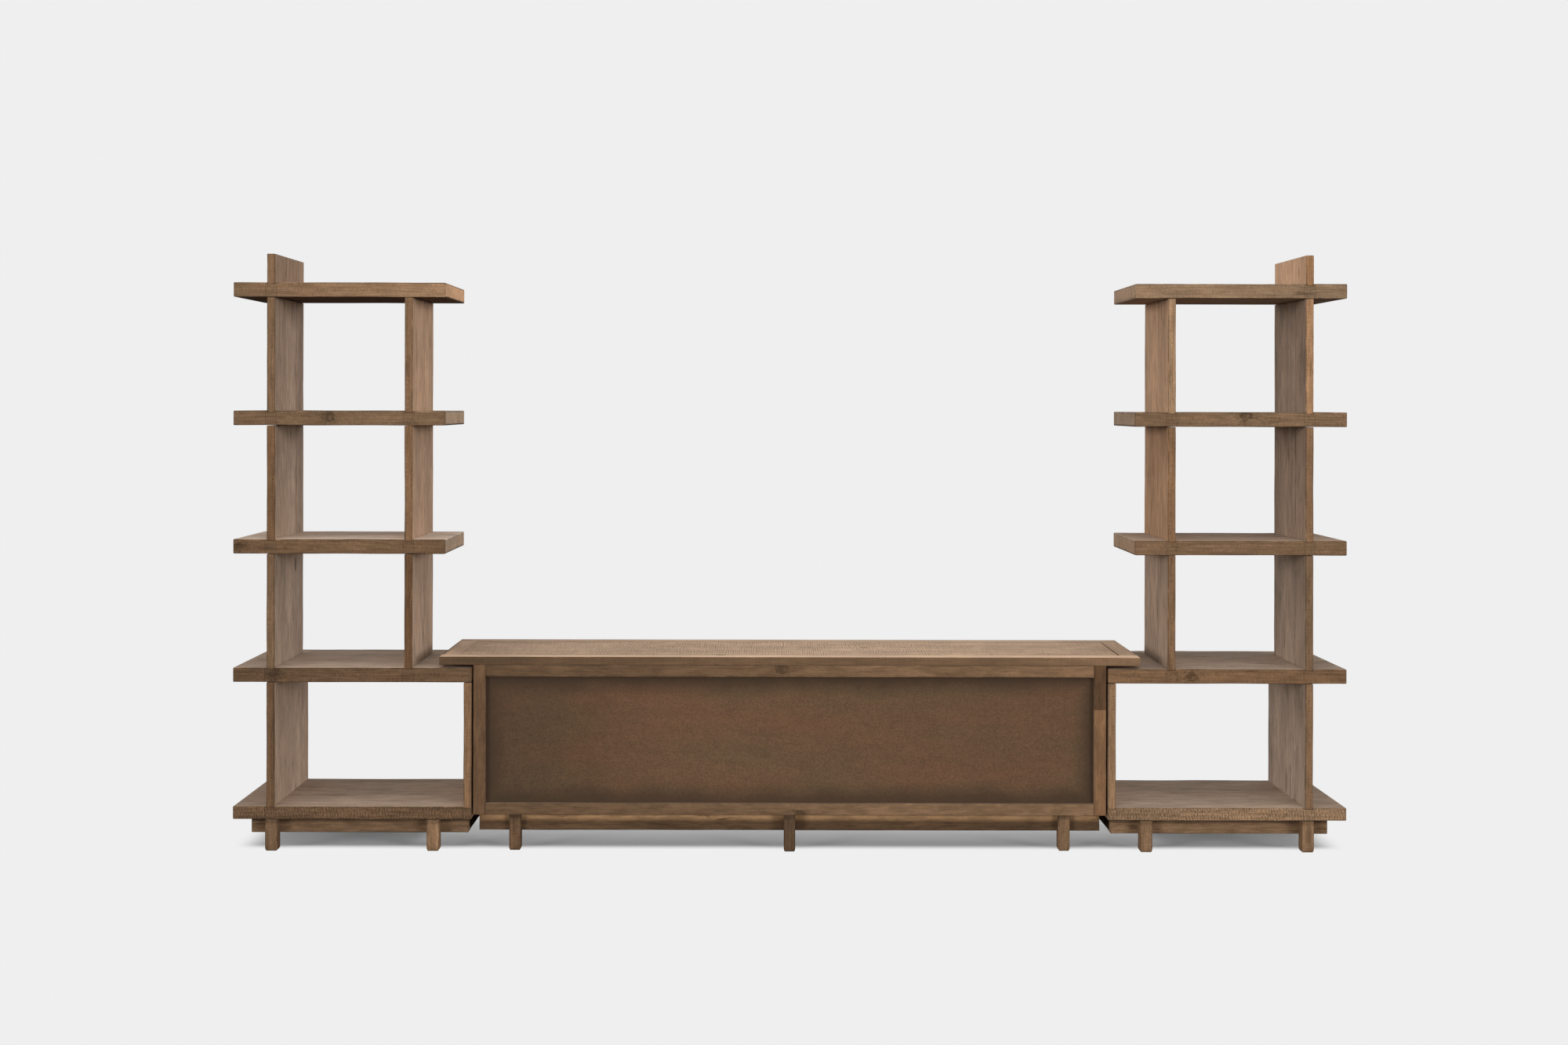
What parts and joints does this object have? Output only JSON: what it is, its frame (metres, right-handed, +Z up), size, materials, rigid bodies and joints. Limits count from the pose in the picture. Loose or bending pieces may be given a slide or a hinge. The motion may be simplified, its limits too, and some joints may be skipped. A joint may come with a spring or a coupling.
{
  "type": "entertainment center",
  "caption": "Wooden wall unit: a low console with hinged doors, an open middle and a long top slab, between open bookcases on square feet.",
  "frame": {"origin": "on the floor, at the middle of the whole unit's base", "axes": "+X along the unit to the right as the picture sees its back, +Y towards the doors, +Z up; the flush backs face -Y"},
  "size_m": [3.4, 0.43, 1.823],
  "materials": {
    "rough_pine": "rough-sawn, worn, matt brown",
    "plank_pine": "weathered grey-brown plank, matt",
    "slab_pine": "pale tan rough-sawn pine, matt",
    "back_panel_stain": "smooth dark brown stain, low satin",
    "dark_iron": "blackened, satin"
  },
  "bodies": {
    "cabinet": {"console_back_panel": "back_panel_stain", "console_base": "rough_pine", "console_bottom_deck": "rough_pine", "console_inner_shelf_left": "rough_pine", "console_inner_shelf_middle": "rough_pine", "console_inner_shelf_right": "rough_pine", "console_partition_left": "rough_pine", "console_partition_right": "rough_pine", "console_side_left": "rough_pine", "console_side_right": "rough_pine", "console_subtop": "rough_pine", "console_top_slab": "slab_pine", "left_bookcase_base": "rough_pine", "left_bookcase_inner_post_1": "plank_pine", "left_bookcase_inner_post_2": "plank_pine", "left_bookcase_inner_post_3": "plank_pine", "left_bookcase_outer_post_1": "plank_pine", "left_bookcase_outer_post_2": "plank_pine", "left_bookcase_outer_post_3": "plank_pine", "left_bookcase_outer_post_4": "plank_pine", "left_bookcase_outer_post_stub": "plank_pine", "left_bookcase_shelf_1": "rough_pine", "left_bookcase_shelf_2": "rough_pine", "left_bookcase_shelf_3": "rough_pine", "left_bookcase_shelf_4": "rough_pine", "left_bookcase_shelf_5": "rough_pine", "left_bookcase_side_panel": "plank_pine", "left_door_lower_hinge_fixed_leaf": "dark_iron", "left_door_lower_hinge_pin": "dark_iron", "left_door_upper_hinge_fixed_leaf": "dark_iron", "left_door_upper_hinge_pin": "dark_iron", "right_bookcase_base": "rough_pine", "right_bookcase_inner_post_1": "plank_pine", "right_bookcase_inner_post_2": "plank_pine", "right_bookcase_inner_post_3": "plank_pine", "right_bookcase_outer_post_1": "plank_pine", "right_bookcase_outer_post_2": "plank_pine", "right_bookcase_outer_post_3": "plank_pine", "right_bookcase_outer_post_4": "plank_pine", "right_bookcase_outer_post_stub": "plank_pine", "right_bookcase_shelf_1": "rough_pine", "right_bookcase_shelf_2": "rough_pine", "right_bookcase_shelf_3": "rough_pine", "right_bookcase_shelf_4": "rough_pine", "right_bookcase_shelf_5": "rough_pine", "right_bookcase_side_panel": "plank_pine", "right_door_lower_hinge_fixed_leaf": "dark_iron", "right_door_lower_hinge_pin": "dark_iron", "right_door_upper_hinge_fixed_leaf": "dark_iron", "right_door_upper_hinge_pin": "dark_iron"},
    "left_door": {"left_door_frame": "rough_pine", "left_door_knob": "dark_iron", "left_door_lower_hinge_door_leaf": "dark_iron", "left_door_panel": "plank_pine", "left_door_upper_hinge_door_leaf": "dark_iron"},
    "right_door": {"right_door_frame": "rough_pine", "right_door_knob": "dark_iron", "right_door_lower_hinge_door_leaf": "dark_iron", "right_door_panel": "plank_pine", "right_door_upper_hinge_door_leaf": "dark_iron"}
  },
  "joints": [
    {"name": "left_door_hinge", "type": "hinge", "parent": "cabinet", "child": "left_door", "pos_m": [-0.92775, 0.1892, 0.15], "axis": [0, 0, 1], "range_deg": [0, 145]},
    {"name": "right_door_hinge", "type": "hinge", "parent": "cabinet", "child": "right_door", "pos_m": [0.92775, 0.1892, 0.15], "axis": [0, 0, -1], "range_deg": [0, 145]}
  ]
}
